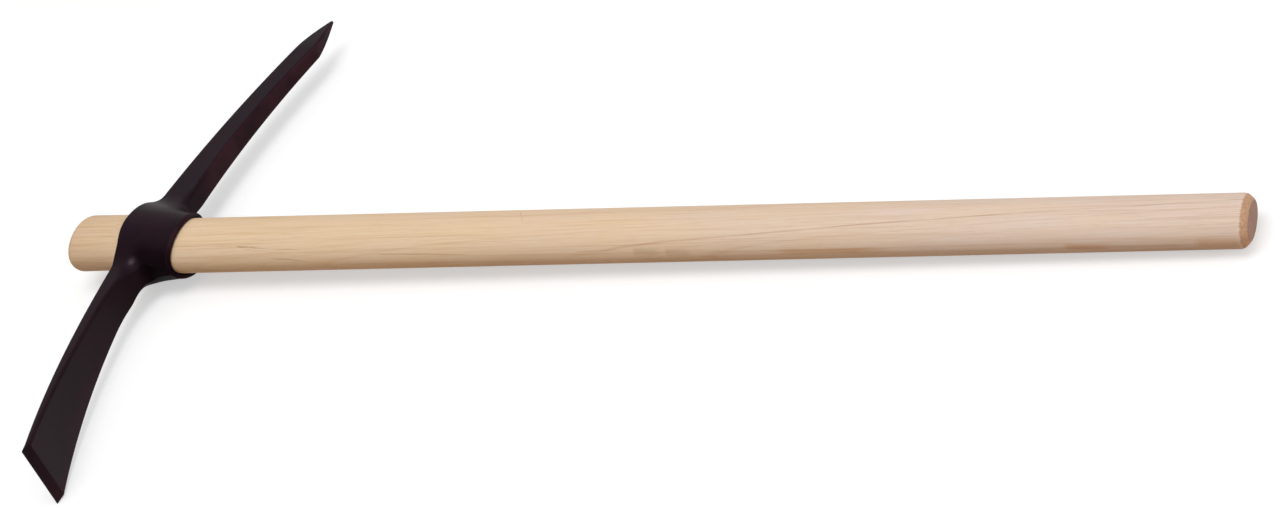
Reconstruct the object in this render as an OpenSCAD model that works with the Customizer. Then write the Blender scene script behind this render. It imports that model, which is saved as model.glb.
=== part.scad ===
// Pick mattock: a forged steel head with a pick point and a narrow adze blade, on an oval wooden handle.
// The tool lies on its side: +X runs along the handle to the grip, +Y to the pick point, and +Z is up.

/* [Handle] */
// Length of the handle from end to end
handle_length = 900; // [700:5:1000]
// Length of the handle that stands out past the crown of the head
proud_length = 55.5; // [40:0.5:80]
// Width of the handle at the middle of the eye, measured in the plane of the head
handle_eye_width = 48.5; // [44:0.5:54]
// Thickness of the handle at the middle of the eye
handle_eye_thickness = 34.5; // [31:0.5:40]
// Width of the handle at the grip end
grip_width = 40.5; // [34:0.5:43]
// Thickness of the handle at the grip end
grip_thickness = 28.5; // [23:0.5:30]
// Rounding of the edge at the proud end
proud_round = 9; // [4:0.5:13]
// How much the proud end flares, all round
proud_flare = 0.5; // [0:0.25:3]
// Sideways step of the proud end towards the pick
proud_step_pick = 2.5; // [0:0.25:4]
// Sideways step of the proud end towards the upper side
proud_step_up = 2.5; // [0:0.25:4]
// Length over which the proud end steps sideways, just outside the crown
proud_step_length = 14; // [8:1:20]
// Chamfer at the grip end
grip_chamfer = 4.4; // [2:0.2:7]

/* [Eye and collar] */
// Height of the eye along the handle, at the middle of the cheeks
eye_height = 48.5; // [42:0.5:60]
// How much farther the crown stands out at the pick, and less at the blade
crown_lean = 0.3; // [0:0.1:1.5]
// How much farther the rim on the grip side stands out at the pick, and less at the blade
rim_lean = 1; // [0:0.2:2]
// How far that rim falls back at the pick and at the blade, in a bow from the middle of the cheeks
rim_bow = 3.4; // [0:0.2:5]
// Gap between the eye and the handle all round
eye_clearance = 0.3; // [0.2:0.05:0.5]
// Chamfer at both mouths of the eye
eye_chamfer = 1; // [0.5:0.25:1.25]
// Wall of the collar's cheeks at the crown
crown_cheek_wall = 10.2; // [8:0.2:13]
// Wall of the collar at the crown where the pick springs
crown_pick_wall = 14.5; // [9:0.5:16]
// Wall of the collar at the crown where the blade springs
crown_blade_wall = 5.2; // [4:0.2:12]
// Wall of the collar's cheeks at its rim on the grip side
rim_wall = 3.9; // [3.2:0.1:7]
// Wall of the collar at that rim where the arms spring
rim_end_wall = 3.3; // [3.2:0.1:7]
// Rounding of the collar's outer edges
rim_round = 2; // [1:0.25:2]
// Reach of the soft blend between the cheeks of the collar and the arms
cheek_blend = 13; // [6:0.5:18]
// How far that blend carries on past the edges of the arms
blend_reach = 10; // [4:0.5:14]

/* [Pick arm] */
// Reach of the pick from the middle of the eye
pick_length = 268; // [220:1:320]
// Height of the pick's middle line above the middle of the eye, at the eye
pick_rise = 13.3; // [12:0.1:14.5]
// Radius of the pick's curve
pick_radius = 1000; // [800:10:1400]
// How far the pick leans in towards the grip by its tip, besides its curve
pick_lean = 4.2; // [0:0.2:8]
// Depth of the pick where it leaves the collar
pick_root_depth = 28.5; // [24:0.5:31]
// Depth of the pick before its point
pick_depth = 20.2; // [16:0.2:24]
// Width of the pick where it leaves the collar
pick_root_width = 17; // [13:0.5:20]
// Width of the pick before its point
pick_width = 12; // [9:0.2:15]
// Length of the point
point_length = 40; // [25:1:60]
// How far the point leans towards the crown
point_lean = 5.5; // [0:0.5:8]
// Side of the blunt tip
tip_size = 2; // [1:0.25:4]
// Length of the fillet between the pick's underside and the collar, along the pick
pick_fillet_length = 8; // [4:0.5:30]
// Height of that fillet, along the collar
pick_fillet_height = 8; // [4:0.5:10]
// Rounding of the pick's long edges
pick_edge_round = 2.8; // [0.8:0.1:3.5]

/* [Adze blade] */
// Reach of the blade from the middle of the eye
blade_length = 235; // [190:1:280]
// Height of the blade's middle line above the middle of the eye, at the eye
blade_rise = 20.6; // [19:0.2:22]
// Radius of the blade's curve
blade_radius = 770; // [600:5:1000]
// How far the blade leans in towards the grip by its cutting edge, besides its curve
blade_lean = 7; // [0:0.5:12]
// Thickness of the blade where it leaves the collar
blade_root_thickness = 13; // [10:0.2:15]
// Thickness of the blade where its bevel begins
blade_thickness = 5.2; // [3.5:0.1:8]
// Width of the blade where it leaves the collar
blade_root_width = 25.5; // [18:0.5:30]
// Width of the cutting edge
blade_width = 53; // [40:0.5:70]
// Length of the sharpened bevel on the inner face
bevel_length = 7.5; // [5:0.5:16]
// Thickness left at the cutting edge
edge_thickness = 0.8; // [0.5:0.1:1.5]
// Length of the fillet between the blade's inner face and the collar, along the blade
blade_fillet_length = 50; // [20:1:70]
// Height of that fillet, along the collar
blade_fillet_height = 14; // [8:1:22]
// Rounding of the blade's long edges
blade_edge_round = 1.8; // [0.8:0.1:3]

/* [Hidden] */

// Points round an oval section, and along each side of a section through the head
oval_steps = 56;
side_steps = 20;
// Least half thickness of the head, where its two sides would meet in a knife edge
least_half = 0.2;
// How far a cutting shape runs past the face that it cuts
over = 1;

// Tool axes: the origin is the middle of the eye, X runs to the grip, Y to the pick, Z up
half_eye = eye_height / 2;
grip_x = handle_length - proud_length - half_eye;
proud_x = grip_x - handle_length;

function lerp(a, b, t) = a + (b - a) * t;
function clamp(t) = max(0, min(1, t));
function ease(t) = let (s = clamp(t)) s * s * (3 - 2 * s);
function arc_drop(r, t) = r - sqrt(max(0, r * r - t * t));
function smooth_max(a, b, k) =
    let (h = max(k - abs(a - b), 0) / k)
    max(a, b) + h * h * k / 4;
function span(a, b, n) = [for (i = [0 : n - 1]) lerp(a, b, i / n)];

// Half width and half thickness of the handle along its straight taper, and of the eye round it
function handle_b(x) = lerp(handle_eye_width, grip_width, x / grip_x) / 2;
function handle_c(x) = lerp(handle_eye_thickness, grip_thickness, x / grip_x) / 2;
function eye_b(x) = handle_b(x) + eye_clearance;
function eye_c(x) = handle_c(x) + eye_clearance;

function oval(x, b, c, dy = 0, dz = 0) = [
    for (i = [0 : oval_steps - 1])
        let (a = 360 * i / oval_steps)
        [x, dy + b * cos(a), dz + c * sin(a)]
];

// Skin through a row of rings that run round +X or +Y, closed flat at both ends. Each patch between two
// rings is split along its shorter diagonal.
module loft(rings) {
    count = len(rings[0]);
    last = len(rings) - 1;
    points = [for (ring = rings) each ring];
    sides = [
        for (j = [0 : last - 1], i = [0 : count - 1])
            let (k = (i + 1) % count, a = j * count, b = a + count)
            each norm(points[a + k] - points[b + i]) <= norm(points[a + i] - points[b + k])
                ? [[a + i, b + i, a + k], [a + k, b + i, b + k]]
                : [[a + i, b + i, b + k], [a + i, b + k, a + k]]
    ];
    ends = [
        [for (i = [0 : count - 1]) i],
        [for (i = [0 : count - 1]) last * count + count - 1 - i]
    ];
    polyhedron(points, concat(ends, sides));
}

// Handle: rounded proud end, sideways step outside the crown, straight taper, chamfer at the grip
step_x = -half_eye - over;
proud_rings = 7;
step_rings = 6;
taper_rings = 8;

function handle_ring(x, inset = 0) =
    let (
        k = ease((step_x - x) / proud_step_length),
        out = proud_flare * clamp((step_x - x) / (step_x - proud_x)) - inset
    )
    oval(x, handle_b(x) + out, handle_c(x) + out, k * proud_step_pick, k * proud_step_up);

handle_rings = concat(
    [
        for (i = [0 : proud_rings - 1])
            let (a = 90 * (1 - i / proud_rings))
            handle_ring(proud_x + proud_round * (1 - sin(a)), proud_round * (1 - cos(a)))
    ],
    [handle_ring(proud_x + proud_round)],
    [for (x = span(step_x - proud_step_length, step_x, step_rings)) handle_ring(x)],
    [for (x = span(step_x, grip_x - grip_chamfer, taper_rings)) handle_ring(x)],
    [for (cut = [0, grip_chamfer]) handle_ring(grip_x - grip_chamfer + cut, cut)]
);

// Collar: outer oval, thicker at the crown where the arms spring, with rounded rims
function end_wall(y) = y > 0 ? crown_pick_wall : crown_blade_wall;
function collar_b(x, y) = eye_b(x) + lerp(end_wall(y), rim_end_wall, (x + half_eye) / eye_height);
function collar_c(x) = eye_c(x) + lerp(crown_cheek_wall, rim_wall, (x + half_eye) / eye_height);
function crown_b(y) = collar_b(-half_eye, y);
rim_b = collar_b(half_eye, 1);

// Both mouths of the collar: the crown leans a little, and the rim on the grip side leans and bows
function end_share(y) = max(-1, min(1, y / rim_b));
function crown_x(y) = -half_eye - crown_lean * end_share(y);
function rim_x(y) = half_eye + rim_lean * end_share(y) - rim_bow * pow(end_share(y), 2);

// Shares of the way along each arm: shaft and point of the pick, body and bevel of the blade
function pick_share(y) = clamp((y - crown_b(1)) / (pick_length - point_length - crown_b(1)));
function point_share(y) = clamp(1 - (pick_length - y) / point_length);
function blade_share(y) = clamp((-y - crown_b(-1)) / (blade_length - bevel_length - crown_b(-1)));
function bevel_share(y) = clamp(1 - (blade_length + y) / bevel_length);

// How quickly the pick slims after its root, and how its point and the blade's flare swell
pick_slim = 2.5;
point_belly = 1.35;
blade_flare = 1.36;

function pick_size(y, root, shaft, slim) =
    lerp(lerp(root, shaft, slim), tip_size, pow(point_share(y), point_belly));
function pick_slimming(y) = 1 - pow(1 - pick_share(y), pick_slim);

function arm_mid(y) =
    y > 0
        ? arc_drop(pick_radius, y) - pick_rise + pick_lean * y / pick_length - point_lean * point_share(y)
        : arc_drop(blade_radius, y) - blade_rise - blade_lean * y / blade_length;
function arm_depth(y) =
    y > 0
        ? pick_size(y, pick_root_depth, pick_depth, pick_slimming(y))
        : lerp(blade_root_thickness, blade_thickness, blade_share(y));
function arm_half(y) =
    y > 0
        ? pick_size(y, pick_root_width, pick_width, pow(pick_share(y), 2)) / 2
        : lerp(blade_root_width, blade_width, pow(blade_share(y), blade_flare)) / 2;
function arm_crown(y) = arm_mid(y) - arm_depth(y) / 2;
function arm_under(y) = arm_crown(y) + lerp(arm_depth(y), edge_thickness, bevel_share(y));

// Rounding of an arm's long edges, smaller where the section has no room for it
round_room = 2.5;
function arm_round(y) =
    min(
        y > 0 ? pick_edge_round : blade_edge_round,
        (arm_under(y) - arm_crown(y)) / round_room,
        arm_half(y) / round_room
    );

// Crown line of the head, seen from the side: flat over the cheeks, then up to the top of each arm
cheek_flat = 18;
function head_crown(y) =
    lerp(crown_x(y), arm_crown(y), ease((abs(y) - cheek_flat) / (crown_b(y) - cheek_flat)));

// Rounding of the collar's outer edges, along the crown line and the rim
function rim_cut(x, y) =
    arc_drop(rim_round, max(0, rim_round - min(x - head_crown(y), rim_x(y) - x)));

// Height of the collar's cheek. Where an arm leaves it (arm = 1) the oval runs on along its tangent.
cheek_slope = 1.2;
function cheek(x, y, arm) =
    let (
        b = collar_b(x, y) - rim_cut(x, y),
        c = collar_c(x) - rim_cut(x, y),
        s = abs(y) / b,
        t = cheek_slope / norm([cheek_slope, c / b]),
        round_nose = s < 1 ? c * sqrt(1 - s * s) : -c * sqrt(s * s - 1),
        run_on = s < t ? round_nose : c * sqrt(1 - t * t) - cheek_slope * b * (s - t)
    )
    lerp(round_nose, run_on, arm);

// Underside of the head, seen from the side: rounded rim, end wall of the collar, fillet, then the arm
function fillet_length(y) = y > 0 ? pick_fillet_length : blade_fillet_length;
function fillet_height(y) = y > 0 ? pick_fillet_height : blade_fillet_height;
function wall_foot(y) = arm_under(sign(y) * crown_b(y)) + fillet_height(y);
function wall_y(y) = lerp(rim_b, crown_b(y), (rim_x(sign(y) * rim_b) - wall_foot(y)) / eye_height);
function head_under(y) =
    let (t = abs(y), w = wall_y(y), left = clamp(1 - (t - w) / fillet_length(y)))
    t < rim_b - rim_round ? rim_x(y)
    : t < rim_b ? rim_x(y) - arc_drop(rim_round, t - rim_b + rim_round)
    : t < w ? lerp(rim_x(y) - rim_round, wall_foot(y), (t - rim_b) / (w - rim_b))
    : arm_under(y) + fillet_height(y) * arc_drop(1, left);

// Half width of an arm across its depth, below zero past its edges. Both edges are rounded, and by the
// collar the lower rounding grows into a gusset that slopes on down the end wall.
function arm_profile(x, y) =
    let (
        w = arm_half(y) * ease(2 * abs(y) / crown_b(y)),
        r = min(arm_round(y), w),
        under = abs(y) < wall_y(y) ? wall_foot(y) : head_under(y),
        gusset = min(w, max(r, under - arm_under(y))),
        past = max(0, gusset - under + x),
        steep = arc_drop(gusset, min(past, gusset)) + max(0, past - gusset),
        slow = past < gusset ? past * past / (2 * gusset) : past - gusset / 2,
        foot = lerp(steep, slow, clamp((gusset - r) / max(w - r, least_half))),
        top = arc_drop(r, max(0, r - x + head_crown(y)))
    )
    w - top - foot;

function head_half(x, y) =
    let (
        a = arm_profile(x, y),
        arm = clamp((a + blend_reach) / (arm_half(y) + blend_reach))
    )
    max(least_half, smooth_max(a, cheek(x, y, arm), max(least_half, cheek_blend * arm)));

// One ring of the head's skin: down the upper side from crown to underside and back up the lower side
function head_ring(y) =
    let (
        side = [
            for (i = [0 : side_steps])
                let (x = lerp(head_crown(y), head_under(y), (1 - cos(180 * i / side_steps)) / 2))
                [x, y, head_half(x, y)]
        ]
    )
    concat(side, [for (i = [side_steps : -1 : 0]) [side[i].x, y, -side[i].z]]);

// Stations from the cutting edge to the tip, close together round the collar and over the point
collar_stations = 11;
wall_stations = 4;
fillet_stations = 9;
shaft_stations = 12;
bevel_stations = 3;
point_stations = 8;
point_crowding = 1.5;
function root_end(side) = wall_y(side) + fillet_length(side);
function wall_span(side) = concat(
    span(rim_b - rim_round, rim_b, wall_stations),
    span(rim_b, wall_y(side), wall_stations),
    [
        for (i = [0 : fillet_stations])
            wall_y(side) + fillet_length(side) * (1 - cos(90 * i / fillet_stations))
    ]
);
pick_stations = concat(
    wall_span(1),
    [for (i = [1 : shaft_stations]) lerp(root_end(1), pick_length - point_length, i / shaft_stations)],
    [
        for (i = [1 : point_stations])
            pick_length - point_length * pow(1 - i / point_stations, point_crowding)
    ]
);
blade_stations = concat(
    wall_span(-1),
    [for (i = [1 : shaft_stations]) lerp(root_end(-1), blade_length - bevel_length, i / shaft_stations)],
    [for (i = [1 : bevel_stations]) blade_length - bevel_length * (1 - i / bevel_stations)]
);
head_rings = concat(
    [for (i = [len(blade_stations) - 1 : -1 : 0]) head_ring(-blade_stations[i])],
    [
        for (i = [1 - collar_stations : collar_stations - 1])
            head_ring((rim_b - rim_round) * sin(90 * i / collar_stations))
    ],
    [for (y = pick_stations) head_ring(y)]
);

// Eye: tapers with the handle. Its chamfered mouths follow the raised crown line and the bowed rim.
function eye_ring(x, grow, crown = 0, rim = 0) = [
    for (p = oval(x, eye_b(x) + grow, eye_c(x) + grow))
        [p.x + crown * (head_crown(p.y) + half_eye) + rim * (rim_x(p.y) - half_eye), p.y, p.z]
];
crown_top = min([for (ring = head_rings) ring[0].x]);
rim_low = max([for (ring = head_rings) ring[side_steps].x]);
eye_rings = [
    eye_ring(crown_top - 2 * over, eye_chamfer + over),
    eye_ring(-half_eye - over, eye_chamfer + over, crown = 1),
    eye_ring(-half_eye + eye_chamfer, 0, crown = 1),
    eye_ring(half_eye - eye_chamfer, 0, rim = 1),
    eye_ring(half_eye + over, eye_chamfer + over, rim = 1),
    eye_ring(rim_low + 2 * over, eye_chamfer + over)
];

// Rest pose: the tool lies level on its cheek's crown edge, the blade's corner and the grip end
cheek_foot_x = -half_eye + rim_round;
grip_foot_x = grip_x - grip_chamfer;
rest_pitch = atan2(collar_c(cheek_foot_x) - handle_c(grip_foot_x), grip_foot_x - cheek_foot_x);

function pitched(p) = [
    p.x * cos(rest_pitch) + p.z * sin(rest_pitch),
    p.y,
    p.z * cos(rest_pitch) - p.x * sin(rest_pitch)
];
laid_points = [for (ring = concat(head_rings, handle_rings), p = ring) pitched(p)];
laid_low = [for (i = [0 : 2]) min([for (p = laid_points) p[i]])];
laid_high = [for (i = [0 : 2]) max([for (p = laid_points) p[i]])];
rest_origin = [(laid_low.x + laid_high.x) / 2, (laid_low.y + laid_high.y) / 2, laid_low.z];

module laid_down() {
    translate(-rest_origin)
        rotate([0, rest_pitch, 0])
            children();
}

module head() {
    color("#33282c")
        laid_down()
            difference() {
                loft(head_rings);
                loft(eye_rings);
            }
}

module handle() {
    color("#dcbf98")
        laid_down()
            loft(handle_rings);
}

head();
handle();
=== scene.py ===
import math

import bmesh
import bpy
import numpy as np
from mathutils import Euler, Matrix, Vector


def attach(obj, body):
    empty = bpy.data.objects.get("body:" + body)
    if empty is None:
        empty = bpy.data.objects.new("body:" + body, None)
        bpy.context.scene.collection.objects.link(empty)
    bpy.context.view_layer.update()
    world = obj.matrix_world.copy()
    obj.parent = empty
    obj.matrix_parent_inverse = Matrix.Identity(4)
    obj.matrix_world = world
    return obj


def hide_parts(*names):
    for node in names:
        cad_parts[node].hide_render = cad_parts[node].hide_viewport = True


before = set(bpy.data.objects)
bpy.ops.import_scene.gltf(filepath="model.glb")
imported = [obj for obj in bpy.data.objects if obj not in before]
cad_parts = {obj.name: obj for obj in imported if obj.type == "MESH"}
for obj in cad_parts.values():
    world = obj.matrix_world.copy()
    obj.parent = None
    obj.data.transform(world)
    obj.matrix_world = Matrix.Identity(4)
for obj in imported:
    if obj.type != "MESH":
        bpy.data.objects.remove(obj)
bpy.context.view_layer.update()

# Handle: one straight shaft of pale, bare wood, oval in section and sanded smooth. It is fullest
# at the proud end, which is rounded over, and tapers to the grip, which is sawn off square and
# chamfered. The head jams on the taper. Sizes are in millimetres, in the tool's own axes.
MM = 0.001
rest_pitch = math.radians(0.909539)
rest_origin = np.array([370.23, 16.5, -27.2149])

handle_length = 900.0
proud_length = 55.5
eye_height = 48.5
half_eye = eye_height / 2
grip_x = handle_length - proud_length - half_eye
proud_x = grip_x - handle_length
handle_eye_width = 48.5
handle_eye_thickness = 34.5
grip_width = 40.5
grip_thickness = 28.5
proud_round = 9.0
proud_flare = 0.5
proud_step_pick = 2.5
proud_step_up = 2.5
proud_step_start = -half_eye - 1
proud_step_length = 14.0
grip_chamfer = 4.4
chamfer_ease = 2.0
handle_sides = 128


def place(tree, kind, inputs=None, **settings):
    """One node of a tree. Its inputs are values, or outputs of other nodes to link to it."""
    node = tree.nodes.new(kind)
    for name, value in settings.items():
        setattr(node, name, value)
    for key, value in (inputs or {}).items():
        if isinstance(value, bpy.types.NodeSocket):
            tree.links.new(value, node.inputs[key])
        else:
            node.inputs[key].default_value = value
    return node


def calc(tree, operation, *values, clamp=False):
    """The result of one Math node."""
    inputs = dict(enumerate(values))
    return place(tree, "ShaderNodeMath", inputs, operation=operation, use_clamp=clamp).outputs[0]


def ramp(tree, value, low, high, to_low=0.0, to_high=1.0, shape="SMOOTHSTEP"):
    """A value carried from one range to another, and held at its ends."""
    inputs = {
        "Value": value, "From Min": low, "From Max": high, "To Min": to_low, "To Max": to_high,
    }
    return place(tree, "ShaderNodeMapRange", inputs, interpolation_type=shape).outputs["Result"]


def put(name, data):
    """A new object in the scene."""
    thing = bpy.data.objects.new(name, data)
    bpy.context.scene.collection.objects.link(thing)
    return thing


def applied(thing):
    """The plain mesh that an object's modifiers make. The object itself is dropped."""
    evaluated = thing.evaluated_get(bpy.context.evaluated_depsgraph_get())
    mesh = bpy.data.meshes.new_from_object(evaluated)
    bpy.data.objects.remove(thing)
    return mesh


def eased_corner(before, corner, after):
    """Points round a corner of the profile, on a curve that leaves both sides near the corner."""
    before, corner, after = (np.array(p, float) for p in (before, corner, after))
    start = corner + (before - corner) * chamfer_ease / np.linalg.norm(before - corner)
    end = corner + (after - corner) * chamfer_ease / np.linalg.norm(after - corner)
    return [
        start * (1 - t) ** 2 + corner * 2 * t * (1 - t) + end * t * t for t in np.linspace(0, 1, 5)
    ]


# Profile of the shaft, ring by ring: its place along the shaft, its inset from the straight taper,
# and how far it is drawn in to the middle, which closes the two ends
def flared(x, inset=0.0):
    past_step = (proud_step_start - x) / (proud_step_start - proud_x)
    return x, inset - proud_flare * min(1, max(0, past_step))


cap_shrinks = (1.0, 0.7, 0.4, 0.15)
proud_arc = np.linspace(math.pi / 2, 0, 14)
step_end = proud_step_start - proud_step_length
plain_end = grip_x - grip_chamfer - 3
plain_places = np.concatenate([
    np.linspace(proud_x + proud_round, step_end, 6)[1:],
    np.linspace(step_end, proud_step_start, 13)[1:],
    np.linspace(proud_step_start, plain_end, 40)[1:],
])
chamfer_start = (grip_x - grip_chamfer, 0)
chamfer_end = (grip_x, grip_chamfer)
profile = (
    [(*flared(proud_x, proud_round), shrink) for shrink in cap_shrinks]
    + [(*flared(proud_x + proud_round * (1 - math.sin(a)), proud_round * (1 - math.cos(a))), 0)
       for a in proud_arc]
    + [(*flared(x), 0) for x in plain_places]
    + [(*p, 0) for p in eased_corner((0, 0), chamfer_start, chamfer_end)]
    + [(*p, 0) for p in eased_corner(chamfer_start, chamfer_end, (grip_x, 2 * grip_width))]
    + [(grip_x, grip_chamfer + chamfer_ease, shrink) for shrink in reversed(cap_shrinks)]
)

# Geometry nodes: a grid of rings and sides is wrapped round the axis as a tapered oval, with the
# proud end stepped aside, and laid on the floor
shaft = bpy.data.node_groups.new("oval_shaft", "GeometryNodeTree")
shaft.interface.new_socket(name="Shaft", in_out="OUTPUT", socket_type="NodeSocketGeometry")
shaft.interface.new_socket(name="Profile", in_out="INPUT", socket_type="NodeSocketGeometry")
shaft_sizes = {
    "Eye Width": handle_eye_width * MM,
    "Eye Thickness": handle_eye_thickness * MM,
    "Grip Width": grip_width * MM,
    "Grip Thickness": grip_thickness * MM,
    "Grip Place": grip_x * MM,
    "Step Start": proud_step_start * MM,
    "Step Length": proud_step_length * MM,
    "Step To Pick": proud_step_pick * MM,
    "Step Up": proud_step_up * MM,
    "Lay Down": rest_pitch,
}
shaft_kinds = {
    **dict.fromkeys(shaft_sizes, "NodeSocketFloat"),
    "Rings": "NodeSocketInt",
    "Sides": "NodeSocketInt",
    "Wood": "NodeSocketMaterial",
}
shaft_inputs = {
    name: shaft.interface.new_socket(name=name, in_out="INPUT", socket_type=kind).identifier
    for name, kind in shaft_kinds.items()
}
given = place(shaft, "NodeGroupInput").outputs
columns = calc(shaft, "ADD", given["Sides"], 1)
grid = place(
    shaft, "GeometryNodeMeshGrid", {"Vertices X": given["Rings"], "Vertices Y": columns}
)
index = place(shaft, "GeometryNodeInputIndex").outputs[0]
row = calc(shaft, "FLOOR", calc(shaft, "DIVIDE", calc(shaft, "ADD", index, 0.5), columns))
column = calc(shaft, "SUBTRACT", index, calc(shaft, "MULTIPLY", row, columns))
profile_point = place(
    shaft,
    "GeometryNodeSampleIndex",
    {
        "Geometry": given["Profile"],
        "Value": place(shaft, "GeometryNodeInputPosition").outputs[0],
        "Index": row,
    },
    data_type="FLOAT_VECTOR",
)
ring = place(shaft, "ShaderNodeSeparateXYZ", {0: profile_point.outputs[0]}).outputs
turn = calc(shaft, "MULTIPLY", calc(shaft, "DIVIDE", column, given["Sides"]), -2 * math.pi)
taper = calc(shaft, "DIVIDE", ring["X"], given["Grip Place"])
keep = calc(shaft, "SUBTRACT", 1, ring["Z"])
past_start = calc(shaft, "SUBTRACT", given["Step Start"], ring["X"])
step_share = ramp(shaft, calc(shaft, "DIVIDE", past_start, given["Step Length"]), 0, 1)


def ring_point(wide, narrow, wave, step):
    """One coordinate of a ring's points: half the oval, less the inset, round the stepped axis."""
    change = calc(shaft, "MULTIPLY", calc(shaft, "SUBTRACT", narrow, wide), taper)
    half = calc(shaft, "DIVIDE", calc(shaft, "ADD", wide, change), 2)
    half = calc(shaft, "MULTIPLY", calc(shaft, "SUBTRACT", half, ring["Y"]), keep)
    round_axis = calc(shaft, "MULTIPLY", half, calc(shaft, wave, turn))
    return calc(shaft, "ADD", round_axis, calc(shaft, "MULTIPLY", step_share, step))


wrapped = place(shaft, "GeometryNodeSetPosition", {
    "Geometry": grid.outputs["Mesh"],
    "Position": place(shaft, "ShaderNodeCombineXYZ", {
        "X": ring["X"],
        "Y": ring_point(given["Eye Width"], given["Grip Width"], "COSINE", given["Step To Pick"]),
        "Z": ring_point(given["Eye Thickness"], given["Grip Thickness"], "SINE", given["Step Up"]),
    }).outputs[0],
})
closed = place(
    shaft, "GeometryNodeMergeByDistance", {"Geometry": wrapped.outputs[0], "Distance": 1e-6}
)
lowered = place(shaft, "GeometryNodeTransform", {
    "Geometry": closed.outputs[0],
    "Translation": tuple(-rest_origin * MM),
    "Rotation": place(shaft, "ShaderNodeCombineXYZ", {"Y": given["Lay Down"]}).outputs[0],
})
smooth = place(shaft, "GeometryNodeSetShadeSmooth", {"Geometry": lowered.outputs[0]})
realized = place(shaft, "GeometryNodeRealizeInstances", {"Geometry": smooth.outputs[0]})
coated = place(
    shaft,
    "GeometryNodeSetMaterial",
    {"Geometry": realized.outputs[0], "Material": given["Wood"]},
)
place(shaft, "NodeGroupOutput", {"Shaft": coated.outputs[0]})

# Wood: yellowish at the head and pinker at the grip, with leaning growth layers, fine fibres and
# drying checks
wood = bpy.data.materials.new("bare_wood")
wood.use_nodes = True
grain = wood.node_tree
wood_shader = grain.nodes["Principled BSDF"]


def axes_of(vector, location, rotation, scale):
    """Coordinates in axes that are moved, turned and scaled as given."""
    inputs = {
        "Vector": vector, "Location": location, "Rotation": rotation, "Scale": (scale,) * 3,
    }
    return place(grain, "ShaderNodeMapping", inputs, vector_type="TEXTURE").outputs[0]


def streaks(vector, stretch, detail=3.0, rough=0.55, offset=(0, 0, 0)):
    """Noise drawn out along the grain. Stretch is its cycles per mm along, across and up."""
    inputs = {"Vector": vector, "Location": offset, "Scale": stretch}
    moved = place(grain, "ShaderNodeMapping", inputs).outputs[0]
    inputs = {"Vector": moved, "Scale": 1.0, "Detail": detail, "Roughness": rough}
    return place(grain, "ShaderNodeTexNoise", inputs).outputs["Fac"]


def swing(noise, width):
    """Noise carried to a range of the given width round zero."""
    return calc(grain, "MULTIPLY_ADD", noise, width, -width / 2)


def blend(tree, share, first, second, mode="MIX"):
    """Two colours blended. With MULTIPLY the second is a tint."""
    inputs = {0: share, 6: first, 7: second}
    return place(tree, "ShaderNodeMix", inputs, data_type="RGBA", blend_type=mode).outputs[2]


def tinted(colour, layers):
    """A colour of the wood under layers, each given as where it is, its strength and its tint."""
    for share, strength, tint in layers:
        share = calc(grain, "MULTIPLY", share, strength)
        colour = blend(grain, share, colour, (*tint, 1), "MULTIPLY")
    return colour


grain_lean, fibre_lean = math.atan(0.0567), math.atan(0.008)
wood_place = place(grain, "ShaderNodeTexCoord").outputs["Object"]
shaft_point = axes_of(wood_place, tuple(-rest_origin * MM), (0, rest_pitch, 0), MM)
grain_point = axes_of(shaft_point, (0, 0, 0), (0, 0, grain_lean), 1.0)
fibre_point = axes_of(shaft_point, (0, 0, 0), (0, 0, fibre_lean), 1.0)
on_shaft = place(grain, "ShaderNodeSeparateXYZ", {0: shaft_point}).outputs
in_grain = place(grain, "ShaderNodeSeparateXYZ", {0: grain_point}).outputs

head_tone, grip_tone = (0.80, 0.59, 0.385, 1), (0.79, 0.625, 0.52, 1)
patches = swing(streaks(fibre_point, (0.014, 0.06, 0.06), 2.0), 1.1)
pinkness = calc(grain, "ADD", ramp(grain, on_shaft["X"], 120, 860), patches)
tone = blend(grain, ramp(grain, pinkness, 0, 1, shape="LINEAR"), head_tone, grip_tone)

# Growth layers: shells round a far pith, each with its own strength, and one dark layer that
# surfaces at mid length
pith_across, pith_up = 70.0, 8.0
layer_pitch = 2.7
dark_layer_gap = 112.6
waver = swing(streaks(grain_point, (0.005, 0.03, 0.03), 2.0), 5.0)
pith_gap = calc(grain, "SQRT", calc(
    grain,
    "ADD",
    calc(grain, "POWER", calc(grain, "SUBTRACT", in_grain["Y"], pith_across), 2.0),
    calc(grain, "POWER", calc(grain, "SUBTRACT", in_grain["Z"], pith_up), 2.0),
))
layer = calc(grain, "DIVIDE", calc(grain, "ADD", pith_gap, waver), layer_pitch)
layer_share = calc(grain, "FRACT", layer)
layer_number = calc(grain, "FLOOR", layer)
layer_chance = place(
    grain, "ShaderNodeTexWhiteNoise", {"W": layer_number}, noise_dimensions="1D"
).outputs["Value"]
layer_rise = ramp(grain, layer_share, 0.6, 0.9)
layer_fall = ramp(grain, layer_share, 0.92, 1.0, 1.0, 0.0)
late_wood = calc(grain, "MULTIPLY", layer_rise, layer_fall)
late_wood = calc(grain, "MULTIPLY", late_wood, ramp(grain, layer_chance, 0.2, 1.0, 0.15, 1.0))
sway = swing(streaks(fibre_point, (0.011, 0.02, 0.02), 2.0, 0.5, (2, 9, 4)), 3.0)
dark_off = calc(grain, "SUBTRACT", pith_gap, dark_layer_gap)
dark_off = calc(grain, "ADD", calc(grain, "MULTIPLY_ADD", waver, 0.2, dark_off), sway)
dark_layer = ramp(grain, calc(grain, "ABSOLUTE", dark_off), 0.1, 0.7, 1.0, 0.0)
dark_layer = calc(grain, "MULTIPLY", dark_layer, ramp(grain, on_shaft["X"], 350, 430))

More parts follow.
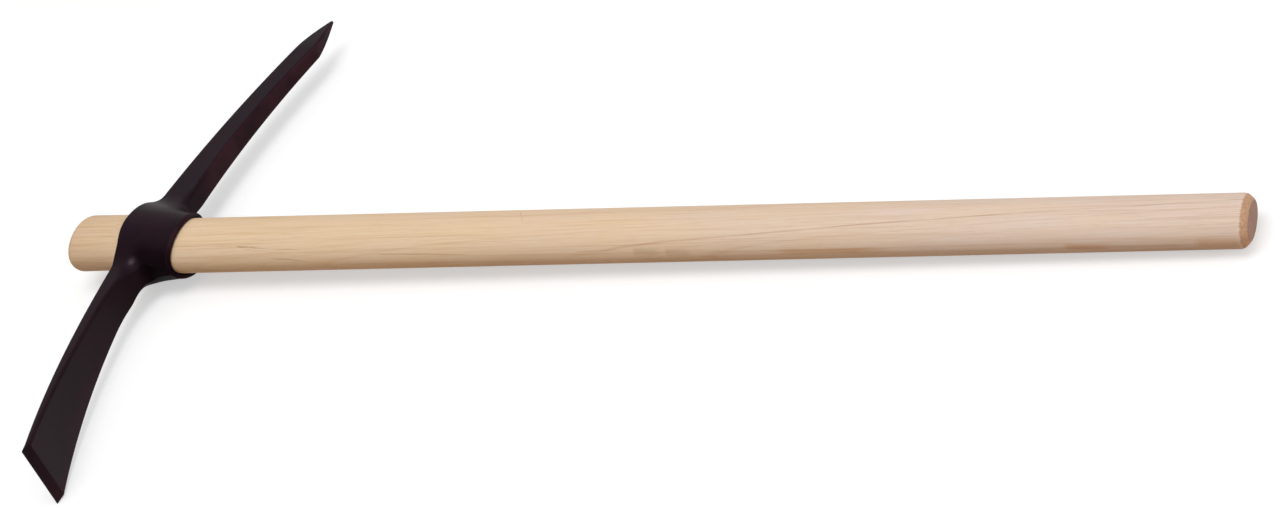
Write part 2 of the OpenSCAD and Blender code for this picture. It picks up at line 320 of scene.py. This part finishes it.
# Fibres: long dark ones, fine ones, thin lines and pores, with a patchy share that breaks up marks
gaps = streaks(fibre_point, (0.03, 0.08, 0.08), 2.0, 0.5, (8, 3, 1))
broken = ramp(grain, gaps, 0.35, 0.6, 0.35, 1.0)
fibres = streaks(fibre_point, (0.005, 0.45, 0.45), 4.0, 0.6)
fine_fibres = streaks(fibre_point, (0.02, 1.5, 1.5), 3.0, 0.6, (3, 7, 11))
pores = ramp(grain, streaks(fibre_point, (0.08, 3.2, 3.2), 2.0, 0.5, (5, 2, 9)), 0.6, 0.72)
thin_lines = streaks(fibre_point, (0.006, 0.8, 0.8), 2.0, 0.5, (17, 1, 4))
tone = tinted(tone, [
    (late_wood, 0.35, (0.83, 0.72, 0.60)),
    (ramp(grain, fibres, 0.5, 0.72), 0.75, (0.89, 0.82, 0.74)),
    (ramp(grain, fine_fibres, 0.42, 0.75), 0.5, (0.88, 0.81, 0.74)),
    (ramp(grain, thin_lines, 0.58, 0.70), 0.55, (0.84, 0.74, 0.65)),
    (pores, 0.3, (0.70, 0.56, 0.42)),
    (calc(grain, "MULTIPLY", dark_layer, broken), 0.8, (0.72, 0.60, 0.50)),
])

# Marks on the surface, each from one place along the shaft and turn round it to another. Turns are
# in degrees from the blade's side up over the top, and one degree is about 0.37 mm. Checks are
# splits from drying, lines are thin and dark, smudges are grey, and brown patches lie low near the
# blade's side.
mm_per_degree = 0.37
mark_fields = ("Start", "End", "From", "To", "Width")
mark = bpy.data.node_groups.new("wood_mark", "ShaderNodeTree")
for name in ("Along", "Turn", *mark_fields):
    mark.interface.new_socket(name=name, in_out="INPUT", socket_type="NodeSocketFloat")
mark.interface.new_socket(name="Mark", in_out="OUTPUT", socket_type="NodeSocketFloat")
asked = place(mark, "NodeGroupInput").outputs
mark_length = calc(mark, "SUBTRACT", asked["End"], asked["Start"])
past_start = calc(mark, "SUBTRACT", asked["Along"], asked["Start"])
mark_share = calc(mark, "DIVIDE", past_start, mark_length)
mark_turn = ramp(mark, mark_share, 0, 1, asked["From"], asked["To"], "LINEAR")
turn_off = calc(mark, "ABSOLUTE", calc(mark, "SUBTRACT", asked["Turn"], mark_turn))
off = calc(mark, "MULTIPLY", turn_off, mm_per_degree)
across_mark = ramp(mark, calc(mark, "DIVIDE", off, asked["Width"]), 0.3, 1.0, 1.0, 0.0)
mark_start = ramp(mark, mark_share, 0.0, 0.15)
mark_end = ramp(mark, mark_share, 0.6, 1.0, 1.0, 0.0)
along_mark = calc(mark, "MULTIPLY", mark_start, mark_end)
place(mark, "NodeGroupOutput", {"Mark": calc(mark, "MULTIPLY", across_mark, along_mark)})

rounded_z = calc(grain, "MULTIPLY", on_shaft["Z"], handle_eye_width / handle_eye_thickness)
to_blade = calc(grain, "MULTIPLY", on_shaft["Y"], -1.0)
turn_round = calc(grain, "MULTIPLY", calc(grain, "ARCTAN2", rounded_z, to_blade), 180 / math.pi)
wander = swing(streaks(shaft_point, (0.06, 0.05, 0.05), 3.0), 7.0)
wandering_turn = calc(grain, "ADD", turn_round, wander)


def marks(places):
    """The strongest of several marks, each with its start, end, turns at both, and half width."""
    total = None
    for values in places:
        inputs = {"Along": on_shaft["X"], "Turn": wandering_turn, **dict(zip(mark_fields, values))}
        one = place(grain, "ShaderNodeGroup", inputs, node_tree=mark).outputs[0]
        total = one if total is None else calc(grain, "MAXIMUM", total, one)
    return total


checks = marks([
    (78, 108, 47.5, 40.5, 0.5),
    (-80, -36, -70, -66, 0.6),
    (505, 640, -58, -50, 0.5),
    (210, 300, 150, 145, 0.5),
])
lines = marks([
    (16, 90, 52.5, 46.5, 0.5),
    (98, 144, 42, 36.5, 0.5),
    (82, 130, 42, 29, 0.45),
    (22, 58, 127, 107, 0.4),
    (70, 114, 133, 113, 0.5),
    (108, 146, 21, 8, 0.7),
    (195, 296, 25, 15.5, 0.7),
    (360, 398, 18, 23, 0.45),
    (772, 815, 95.5, 93, 0.6),
    (308.5, 318, 122, 79, 1.1),
])
smudges = marks([(404, 428, 15, 14, 5.0), (428, 452, 10, 9, 5.0)])
brown_patches = marks([(786, 828, 3, -2, 8.0), (704, 740, 0, -2, 5.0), (508, 600, 5, 3, 4.0)])
tone = tinted(tone, [
    (smudges, 0.6, (0.80, 0.76, 0.72)),
    (brown_patches, 0.55, (0.82, 0.62, 0.44)),
    (calc(grain, "MULTIPLY", lines, broken), 0.6, (0.64, 0.50, 0.38)),
    (calc(grain, "MULTIPLY", checks, broken), 1.0, (0.42, 0.29, 0.20)),
])

# Ends: a browned chamfer with a ragged edge, mauve end grain and a duller proud end
chamfer_place = grip_x - grip_chamfer
chamfer_fade = 0.5
ragged_place = calc(grain, "ADD", on_shaft["X"], swing(fine_fibres, 3.0))
chamfered = ramp(grain, ragged_place, chamfer_place - chamfer_fade, chamfer_place + chamfer_fade)
speckled = ramp(grain, streaks(shaft_point, (0.5, 0.7, 0.7), 3.0, 0.6, (6, 6, 6)), 0.25, 0.75)
browned = blend(grain, speckled, (0.64, 0.395, 0.24, 1), (0.46, 0.26, 0.155, 1))
tone = blend(grain, chamfered, tone, browned)
sawn = ramp(grain, on_shaft["X"], grip_x - 0.5, grip_x - 0.2)
end_grain = blend(grain, late_wood, (0.40, 0.240, 0.188, 1), (0.20, 0.11, 0.085, 1))
end_grain = tinted(end_grain, [(ramp(grain, fine_fibres, 0.4, 0.7), 0.6, (0.80, 0.74, 0.72))])
tone = blend(grain, sawn, tone, end_grain)
proud_part = ramp(grain, on_shaft["X"], proud_step_start, proud_x + proud_round)
proud_end = ramp(grain, on_shaft["X"], proud_x + proud_round * 0.8, proud_x)
tone = tinted(tone, [
    (proud_part, 1.0, (0.90, 0.86, 0.84)),
    (proud_end, 0.9, (0.68, 0.61, 0.58)),
])
grain.links.new(tone, wood_shader.inputs["Base Color"])
grain.links.new(ramp(grain, fibres, 0.3, 0.7, 0.55, 0.70), wood_shader.inputs["Roughness"])
wood_shader.inputs["Specular IOR Level"].default_value = 0.3
pore_relief, fibre_relief, check_relief = -0.5, 0.6, -3.0
wood_relief = calc(grain, "MULTIPLY", pores, pore_relief)
wood_relief = calc(grain, "MULTIPLY_ADD", fine_fibres, fibre_relief, wood_relief)
wood_relief = calc(grain, "MULTIPLY_ADD", checks, check_relief, wood_relief)
wood_bump = place(
    grain, "ShaderNodeBump", {"Strength": 0.5, "Distance": 0.2 * MM, "Height": wood_relief}
)
grain.links.new(wood_bump.outputs["Normal"], wood_shader.inputs["Normal"])

shaft_profile = bpy.data.meshes.new("shaft_profile")
shaft_profile.from_pydata([(x * MM, inset * MM, shrink) for x, inset, shrink in profile], [], [])
shaft_maker = put("shaft_maker", shaft_profile)
maker = shaft_maker.modifiers.new("shaft", "NODES")
maker.node_group = shaft
shaft_values = {**shaft_sizes, "Rings": len(profile), "Sides": handle_sides, "Wood": wood}
for name, value in shaft_values.items():
    maker[shaft_inputs[name]] = value
handle_mesh = applied(shaft_maker)
handle_mesh.set_sharp_from_angle(angle=math.radians(40))
wooden_handle = put("wooden_handle", handle_mesh)
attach(wooden_handle, "handle")
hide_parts("handle")

# Head: one drop-forged piece of steel under a thin coat of maroon-black paint. An oval eye with a
# thick collar carries a square pick with a pyramid point and a narrow adze blade with a bevelled
# edge, all blended softly. Its half thickness is a height over the outline seen from the side.
eye_clearance = 0.3
crown_lean = 0.3
rim_lean, rim_bow = 1.0, 3.4
eye_chamfer = 1.0
crown_cheek_wall = 10.2
crown_pick_wall = 14.5
crown_blade_wall = 5.2
rim_wall = 3.9
rim_end_wall = 3.3
rim_round = 2.0
cheek_blend = 13.0
blend_reach = 10.0
cheek_slope = 1.2
cheek_flat = 18.0
pick_length = 268.0
pick_rise = 13.3
pick_radius = 1000.0
pick_lean = 4.2
pick_root_depth, pick_depth = 28.5, 20.2
pick_root_width, pick_width = 17.0, 12.0
point_length = 40.0
point_lean = 5.5
tip_size = 2.0
pick_fillet = (8.0, 8.0)
pick_edge_round = 2.8
pick_slim, point_belly = 2.5, 1.35
blade_length = 235.0
blade_rise = 20.6
blade_radius = 770.0
blade_lean = 7.0
blade_root_thickness, blade_thickness = 13.0, 5.2
blade_root_width, blade_width = 25.5, 53.0
blade_flare = 1.36
bevel_length = 7.5
edge_thickness = 0.8
blade_fillet = (50.0, 14.0)
blade_edge_round = 2.4
least_half = 0.2


def lerp(a, b, t):
    return a + (b - a) * t


def ease(t):
    t = np.clip(t, 0, 1)
    return t * t * (3 - 2 * t)


def rise(value, start, end):
    """0 up to the start, 1 from the end on, and eased between."""
    return ease((value - start) / (end - start))


def arc_drop(r, t):
    return r - np.sqrt(np.maximum(0, r * r - t * t))


def smooth_max(a, b, k):
    h = np.maximum(k - np.abs(a - b), 0) / k
    return np.maximum(a, b) + h * h * k / 4


# The eye and the collar: half widths towards the arms (b) and half thicknesses (c)
def eye_b(x):
    return lerp(handle_eye_width, grip_width, x / grip_x) / 2 + eye_clearance


def eye_c(x):
    return lerp(handle_eye_thickness, grip_thickness, x / grip_x) / 2 + eye_clearance


def collar_b(x, y):
    wall = np.where(y > 0, crown_pick_wall, crown_blade_wall)
    return eye_b(x) + lerp(wall, rim_end_wall, (x + half_eye) / eye_height)


def collar_c(x):
    return eye_c(x) + lerp(crown_cheek_wall, rim_wall, (x + half_eye) / eye_height)


def crown_b(y):
    return collar_b(-half_eye, y)


rim_b = float(collar_b(half_eye, 1.0))


def crown_x(y):
    return -half_eye - crown_lean * np.clip(y / rim_b, -1, 1)


def rim_x(y):
    share = np.clip(y / rim_b, -1, 1)
    return half_eye + rim_lean * share - rim_bow * share * share


# The arms: the pick where y is above 0, and the blade where it is below
def point_share(y):
    return np.clip(1 - (pick_length - y) / point_length, 0, 1)


def pick_share(y):
    root = crown_b(1.0)
    return np.clip((y - root) / (pick_length - point_length - root), 0, 1)


def blade_share(y):
    root = crown_b(-1.0)
    return np.clip((-y - root) / (blade_length - bevel_length - root), 0, 1)


def bevel_share(y):
    return np.clip(1 - (blade_length + y) / bevel_length, 0, 1)


def pick_size(y, root, shaft_size, slim):
    return lerp(lerp(root, shaft_size, slim), tip_size, point_share(y) ** point_belly)


def arm_mid(y):
    pick = arc_drop(pick_radius, y) - pick_rise
    pick = pick + pick_lean * y / pick_length - point_lean * point_share(y)
    blade = arc_drop(blade_radius, y) - blade_rise - blade_lean * y / blade_length
    return np.where(y > 0, pick, blade)


def arm_depth(y):
    pick = pick_size(y, pick_root_depth, pick_depth, 1 - (1 - pick_share(y)) ** pick_slim)
    return np.where(y > 0, pick, lerp(blade_root_thickness, blade_thickness, blade_share(y)))


def arm_half(y):
    pick = pick_size(y, pick_root_width, pick_width, pick_share(y) ** 2)
    blade = lerp(blade_root_width, blade_width, blade_share(y) ** blade_flare)
    return np.where(y > 0, pick, blade) / 2


def arm_crown(y):
    return arm_mid(y) - arm_depth(y) / 2


def arm_under(y):
    return arm_crown(y) + lerp(arm_depth(y), edge_thickness, bevel_share(y))


def arm_round(y):
    edge = np.where(y > 0, pick_edge_round, blade_edge_round)
    return np.minimum(edge, np.minimum((arm_under(y) - arm_crown(y)) / 2.1, arm_half(y) / 2.5))


# The outline from the side: the crown line, and the underside with the collar's wall and fillets
def head_crown(y):
    past_flat = (np.abs(y) - cheek_flat) / (crown_b(y) - cheek_flat)
    return lerp(crown_x(y), arm_crown(y), ease(past_flat))


def fillet(y):
    return tuple(np.where(y > 0, pick, blade) for pick, blade in zip(pick_fillet, blade_fillet))


def wall_foot(y):
    return arm_under(np.sign(y) * crown_b(y)) + fillet(y)[1]


def wall_y(y):
    return lerp(rim_b, crown_b(y), (rim_x(np.sign(y) * rim_b) - wall_foot(y)) / eye_height)


def head_under(y):
    t, w = np.abs(y), wall_y(y)
    length, height = fillet(y)
    rim = rim_x(y) - arc_drop(rim_round, np.maximum(0, t - rim_b + rim_round))
    wall = lerp(rim_x(y) - rim_round, wall_foot(y), (t - rim_b) / (w - rim_b))
    root = arm_under(y) + height * arc_drop(1.0, np.clip(1 - (t - w) / length, 0, 1))
    return np.where(t < rim_b, rim, np.where(t < w, wall, root))


# The half thickness: the collar's cheek and the arm's section, blended where they meet
def cheek(x, y, arm):
    from_edge = np.minimum(x - head_crown(y), rim_x(y) - x)
    cut = arc_drop(rim_round, np.maximum(0, rim_round - from_edge))
    b, c = collar_b(x, y) - cut, collar_c(x) - cut
    s = np.abs(y) / b
    t = cheek_slope / np.hypot(cheek_slope, c / b)
    inside = c * np.sqrt(np.maximum(0, 1 - s * s))
    outside = -c * np.sqrt(np.maximum(0, s * s - 1))
    nose = np.where(s < 1, inside, outside)
    slope = c * np.sqrt(np.maximum(0, 1 - t * t)) - cheek_slope * b * (s - t)
    return lerp(nose, np.where(s < t, nose, slope), arm)


def arm_profile(x, y):
    w = arm_half(y) * ease(2 * np.abs(y) / crown_b(y))
    r = np.minimum(arm_round(y), w)
    under = np.where(np.abs(y) < wall_y(y), wall_foot(y), head_under(y))
    gusset = np.minimum(w, np.maximum(r, under - arm_under(y)))
    share = np.clip((gusset - r) / np.maximum(w - r, least_half), 0, 1)
    past = np.maximum(0, gusset - under + x)
    top = arc_drop(r, np.maximum(0, r - x + head_crown(y)))
    steep = arc_drop(gusset, np.minimum(past, gusset)) + np.maximum(0, past - gusset)
    curved = past * past / np.maximum(2 * gusset, least_half)
    slow = np.where(past < gusset, curved, past - gusset / 2)
    return w - top - lerp(steep, slow, share)


def head_half(x, y):
    a = arm_profile(x, y)
    arm = np.clip((a + blend_reach) / (arm_half(y) + blend_reach), 0, 1)
    softness = np.maximum(least_half, cheek_blend * arm)
    return np.maximum(least_half, smooth_max(a, cheek(x, y, arm), softness))


# The roots of the arms have no crease: there the height is averaged over a few millimetres, on a
# fine grid round the collar
root_step, root_soft = 0.5, 3.0
root_reach_x, root_reach_y = 45, 75
root_x = np.arange(-root_reach_x, root_reach_x, root_step)
root_y = np.arange(-root_reach_y, root_reach_y, root_step)
averaged = head_half(*np.meshgrid(root_x, root_y, indexing="ij"))
spread = round(3 * root_soft / root_step)
weights = np.exp(-0.5 * (np.arange(-spread, spread + 1) * root_step / root_soft) ** 2)
for axis in (0, 1):
    averaged = np.apply_along_axis(np.convolve, axis, averaged, weights / weights.sum(), "same")


def root_share(x, y):
    """Where the averaged height is taken: clear of the edges, and not past the arms' roots."""
    clear_of_edges = rise(x - head_crown(y), 3, 8) * rise(rim_x(y) - x, 1.5, 5.5)
    return clear_of_edges * rise(np.abs(y), 12, 20) * rise(wall_y(y) - np.abs(y), -25, -10)


def softened_half(x, y):
    i, j = (
        np.clip((value - line[0]) / root_step, 0, len(line) - 2)
        for value, line in ((x, root_x), (y, root_y))
    )
    m, n = i.astype(int), j.astype(int)
    near, far = (lerp(averaged[m, k], averaged[m + 1, k], i - m) for k in (n, n + 1))
    return lerp(head_half(x, y), lerp(near, far, j - n), root_share(x, y))


# Skin of the forging: stations from the cutting edge to the tip, each a ring round the arm or
# collar that goes down the upper side, under, up the lower side and over the crown
side_steps = 44
face_shares = np.array([0.94, 0.75, 0.4, 0.0, -0.4, -0.75, -0.94])
quarter_turn = math.pi / 2


def arm_stations(side, shaft_end, end_length, power):
    """Places along one arm, from the middle of the eye to its end, closer where it curves more."""
    wall, root_length = float(wall_y(side)), float(fillet(side)[0])
    return np.concatenate([
        (rim_b - rim_round) * np.sin(np.linspace(0, quarter_turn, 44, endpoint=False)),
        np.linspace(rim_b - rim_round, rim_b, 8, endpoint=False),
        np.linspace(rim_b, wall, 10, endpoint=False),
        wall + root_length * (1 - np.cos(np.linspace(0, quarter_turn, 28))),
        np.linspace(wall + root_length, shaft_end, 60)[1:],
        end_length * (1 - (1 - np.linspace(0, 1, 20)[1:]) ** power) + shaft_end,
    ])


pick_stations = arm_stations(1.0, pick_length - point_length, point_length, 1.5)
blade_stations = arm_stations(-1.0, blade_length - bevel_length, bevel_length, 1.0)
side_shares = (1 - np.cos(np.linspace(0, math.pi, side_steps + 1))) / 2
rings = []
for y in np.concatenate([-blade_stations[:0:-1], pick_stations]):
    x = lerp(head_crown(y), head_under(y), side_shares)
    z = softened_half(x, np.full_like(x, y))
    across = np.full(len(face_shares), y)
    down = np.stack([x, np.full_like(x, y), z], 1)
    underside = np.stack([np.full(len(across), x[-1]), across, face_shares * z[-1]], 1)
    crown = np.stack([np.full(len(across), x[0]), across, -face_shares * z[0]], 1)
    rings.append(np.concatenate([down, underside, down[::-1] * (1, 1, -1), crown]))


def lofted(name, loops):
    """A closed mesh through rings of points in tool axes, laid on the floor as the handle is."""
    count = len(loops[0])
    points = np.concatenate(loops)
    turned = np.stack([
        points[:, 0] * math.cos(rest_pitch) + points[:, 2] * math.sin(rest_pitch),
        points[:, 1],
        points[:, 2] * math.cos(rest_pitch) - points[:, 0] * math.sin(rest_pitch),
    ], 1)
    faces = []
    for j in range(len(loops) - 1):
        for i in range(count):
            k = (i + 1) % count
            a, b = j * count, (j + 1) * count
            one = np.sum((points[a + k] - points[b + i]) ** 2)
            other = np.sum((points[a + i] - points[b + k]) ** 2)
            if one <= other:
                faces += [(a + i, a + k, b + i), (a + k, b + k, b + i)]
            else:
                faces += [(a + i, b + k, b + i), (a + i, a + k, b + k)]
    faces += [tuple(range(count - 1, -1, -1)), tuple(range(len(points) - count, len(points)))]
    mesh = bpy.data.meshes.new(name)
    mesh.from_pydata((turned - rest_origin) * MM, [], faces)
    return mesh


def oval(x, grow, crown=0, rim=0):
    """A ring of the eye's cutter. It may follow the raised crown line or the leaning rim."""
    a = (np.arange(handle_sides) + 0.5) * 2 * math.pi / handle_sides
    y, z = (eye_b(x) + grow) * np.cos(a), (eye_c(x) + grow) * np.sin(a)
    follow = crown * (head_crown(y) + half_eye) + rim * (rim_x(y) - half_eye)
    return np.stack([x + follow, y, z], 1)


crown_top = min(float(loop[0][0]) for loop in rings)
rim_low = max(float(loop[side_steps][0]) for loop in rings)
eye_cut = lofted("eye_cut", [
    oval(crown_top - 2, eye_chamfer + 1),
    oval(-half_eye - 1, eye_chamfer + 1, crown=1),
    oval(-half_eye + eye_chamfer, 0, crown=1),
    oval(half_eye - eye_chamfer, 0, rim=1),
    oval(half_eye + 1, eye_chamfer + 1, rim=1),
    oval(rim_low + 2, eye_chamfer + 1),
])
blank = put("head_blank", lofted("head_blank", rings))
cutter = put("eye_cutter", eye_cut)
punch = blank.modifiers.new("eye", "BOOLEAN")
punch.object = cutter
punch.operation = "DIFFERENCE"
punch.solver = "EXACT"
head_mesh = applied(blank)
bpy.data.objects.remove(cutter)

# Paint: a dark maroon coat, half gloss, over a forged skin that is not quite even. It is rubbed
# smooth at one spot where the blade leaves the collar, which catches the light.
paint = bpy.data.materials.new("maroon_black_paint")
paint.use_nodes = True
coat = paint.node_tree
paint_shader = coat.nodes["Principled BSDF"]
on_head = place(coat, "ShaderNodeTexCoord").outputs["Object"]


def skin_noise(scale, detail):
    """Noise over the head. The scale is its cycles per metre."""
    inputs = {"Vector": on_head, "Scale": scale, "Detail": detail}
    return place(coat, "ShaderNodeTexNoise", inputs).outputs["Fac"]


def painted(name):
    """One of the shares that are stored at the points of the head's mesh."""
    return place(coat, "ShaderNodeAttribute", attribute_name=name).outputs["Fac"]


clouds = skin_noise(38.0, 4.0)
# Worn edges, and painted light on the arms' faces turned to the grip: both lighter and redder
worn_and_lit = calc(coat, "MULTIPLY", painted("wear_and_painted_light"), ramp(coat, clouds, 0.35, 0.6, 0.4, 1.0))
# Painted shade: the corners between collar and arms are made darker
corner_shade = painted("painted_corner_shade")
rubbed = painted("rubbed_paint")
dark_coat, light_coat = (0.0108, 0.0050, 0.0078, 1), (0.0165, 0.0076, 0.0114, 1)
worn_and_lit_coat, corner_shade_tint = (0.055, 0.020, 0.028, 1), (0.56, 0.58, 0.64, 1)
paint_colour = blend(coat, ramp(coat, clouds, 0.3, 0.7), dark_coat, light_coat)
paint_colour = blend(coat, worn_and_lit, paint_colour, worn_and_lit_coat)
paint_colour = blend(coat, corner_shade, paint_colour, corner_shade_tint, "MULTIPLY")
coat.links.new(paint_colour, paint_shader.inputs["Base Color"])
roughness = ramp(coat, clouds, 0.3, 0.7, 0.36, 0.46)
roughness = calc(coat, "MULTIPLY", roughness, ramp(coat, rubbed, 0, 1, 1.0, 0.55))
coat.links.new(roughness, paint_shader.inputs["Roughness"])
# The painted shade in the corners also takes away gloss there
gloss = ramp(coat, corner_shade, 0, 1, 0.042, 0.012)
gloss = calc(coat, "ADD", gloss, calc(coat, "MULTIPLY", rubbed, 0.12))
coat.links.new(gloss, paint_shader.inputs["Specular IOR Level"])
paint_shader.inputs["Specular Tint"].default_value = (1.0, 0.74, 0.88, 1)
forged, peel = skin_noise(70.0, 3.0), skin_noise(900.0, 2.0)
skin = calc(coat, "ADD", forged, calc(coat, "MULTIPLY", peel, 0.05))
coat_bump = place(coat, "ShaderNodeBump", {"Strength": 0.3, "Distance": 0.6 * MM, "Height": skin})
coat.links.new(coat_bump.outputs["Normal"], paint_shader.inputs["Normal"])

# Wear, painted light and painted shade: how sharply the surface bends at each point, from the
# angles between its faces, and where the point is in tool axes. Paint is worn thin on edges. The
# arms' undersides, the faces turned to the grip, are lighter and redder as painted light, and the
# corners between collar and arms are darker and duller as painted shade.
least_gap = 0.4
bent = bmesh.new()
bent.from_mesh(head_mesh)
edge_bend = np.zeros(len(bent.verts))
for edge in bent.edges:
    if len(edge.link_faces) == 2:
        centres = [face.calc_center_median() for face in edge.link_faces]
        gap = (centres[0] - centres[1]).length / MM
        bend = edge.calc_face_angle_signed(0.0) / max(gap, least_gap)
        for corner in edge.verts:
            edge_bend[corner.index] = max(edge_bend[corner.index], bend)
normal_x = np.array([v.normal.x for v in bent.verts])
laid = np.array([v.co for v in bent.verts]) / MM + rest_origin
bent.free()
x = laid[:, 0] * math.cos(rest_pitch) - laid[:, 2] * math.sin(rest_pitch)
y = laid[:, 1]
z = laid[:, 0] * math.sin(rest_pitch) + laid[:, 2] * math.cos(rest_pitch)

bare_edge = rise(edge_bend, 0.2, 0.6) * (1 - root_share(x, y))
faces_grip = np.clip((normal_x - 0.3) / 0.5, 0, 1)
on_pick = np.clip((y - 45) / 40, 0, 1)
low_on_blade = ease(-z / arm_half(y)) * rise(-y, 70, 150)
# Painted light: the arms' faces turned to the grip are lighter and redder, as if lit from there
lit_inner_face = faces_grip * np.maximum(on_pick, 0.6 * low_on_blade)
# Painted shade: a darker, duller patch in the corners where the arms leave the collar
past_wall = np.abs(y) - wall_y(y)
in_corner = rise(past_wall, -16, -2) * rise(-past_wall, -9, 0)
under_arm = rise(x - arm_under(np.sign(y) * wall_y(y)), -3, 11)
rubbed_spot, rubbed_reach = (-7.8, -31.6, 11.8), 8.0
from_spot = np.linalg.norm(np.stack([x, y, z], 1) - rubbed_spot, axis=1)
for name, shares in (
    ("wear_and_painted_light", np.maximum(0.5 * bare_edge, 0.55 * lit_inner_face)),
    ("painted_corner_shade", in_corner * under_arm),
    ("rubbed_paint", ease(1 - from_spot / rubbed_reach)),
):
    head_mesh.attributes.new(name, "FLOAT", "POINT").data.foreach_set("value", shares)

head_mesh.materials.clear()
head_mesh.materials.append(paint)
head_mesh.polygons.foreach_set("use_smooth", np.ones(len(head_mesh.polygons), bool))
head_mesh.set_sharp_from_angle(angle=math.radians(38))
forged_head = put("forged_head", head_mesh)
flats = forged_head.modifiers.new("flats", "WEIGHTED_NORMAL")
flats.keep_sharp = True
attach(forged_head, "head")
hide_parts("head")

# Studio: a white floor that keeps a soft shadow, white surroundings, a broad lamp overhead, a lamp
# off the grip end and the photograph's camera. Floor and surroundings look brighter than the light
# that they give.
scene = bpy.context.scene
scene.view_settings.view_transform = "Standard"
floor_reach = 6.0
floor_corners = [
    (x * floor_reach, y * floor_reach, 0) for x, y in ((-1, -1), (1, -1), (1, 1), (-1, 1))
]
floor_mesh = bpy.data.meshes.new("floor")
floor_mesh.from_pydata(floor_corners, [], [(0, 1, 2, 3)])
floor = put("floor", floor_mesh)


def looked_at(tree):
    """1 for rays from the camera, or from a gloss or glass, and 0 for rays that only light."""
    rays = place(tree, "ShaderNodeLightPath").outputs
    direct = calc(tree, "ADD", rays["Is Camera Ray"], rays["Is Glossy Ray"])
    return calc(tree, "ADD", direct, rays["Is Transmission Ray"], clamp=True)


floor_paint = bpy.data.materials.new("white_floor")
floor_paint.use_nodes = True
ground = floor_paint.node_tree
ground_shader = ground.nodes["Principled BSDF"]
ground_shader.inputs["Roughness"].default_value = 0.9
ground_shader.inputs["Specular IOR Level"].default_value = 0.0
ground_shader.inputs["Emission Color"].default_value = (1, 1, 1, 1)
shown = looked_at(ground)
floor_place = place(ground, "ShaderNodeTexCoord").outputs["Object"]
from_middle = place(ground, "ShaderNodeVectorMath", {0: floor_place}, operation="LENGTH")
glow = ramp(ground, from_middle.outputs["Value"], 1.0, 4.5, 0.5, 0.8)
ground.links.new(
    calc(ground, "MULTIPLY", shown, glow), ground_shader.inputs["Emission Strength"]
)
bounced, white = (0.42, 0.27, 0.15, 1), (0.6, 0.6, 0.6, 1)
ground.links.new(blend(ground, shown, bounced, white), ground_shader.inputs["Base Color"])
floor_mesh.materials.append(floor_paint)

world = bpy.data.worlds.new("surroundings")
scene.world = world
world.use_nodes = True
air = world.node_tree
sky = air.nodes["Background"]
sky.inputs["Color"].default_value = (1, 1, 1, 1)
direction = place(air, "ShaderNodeTexCoord").outputs["Generated"]
height = place(air, "ShaderNodeSeparateXYZ", {0: direction}).outputs["Z"]
light = ramp(air, height, 0, 1, 0.2, 0.7, "LINEAR")
air.links.new(ramp(air, looked_at(air), 0, 1, light, 1.0, "LINEAR"), sky.inputs["Strength"])

for name, spot, size, watts in (
    ("overhead_lamp", (-0.1, -0.55, 2.6), 1.6, 29),
    ("end_lamp", (5.0, -0.3, 1.2), 2.0, 60),
):
    lamp_data = bpy.data.lights.new(name, "AREA")
    lamp_data.shape = "DISK"
    lamp_data.size = size
    lamp_data.energy = watts
    lamp = put(name, lamp_data)
    lamp.location = spot
    lamp.rotation_euler = Vector(spot).to_track_quat("Z", "Y").to_euler()
    lamp.visible_camera = False

camera_turns = (50.4803, 19.7006, 19.9373)
camera_data = bpy.data.cameras.new("photo_camera")
camera_data.lens = 72.05
camera_data.sensor_width = 36.0
camera = put("photo_camera", camera_data)
camera.location = (0.84302, -1.16974, 1.05399)
camera.rotation_euler = Euler([math.radians(turn) for turn in camera_turns], "XYZ")
scene.camera = camera
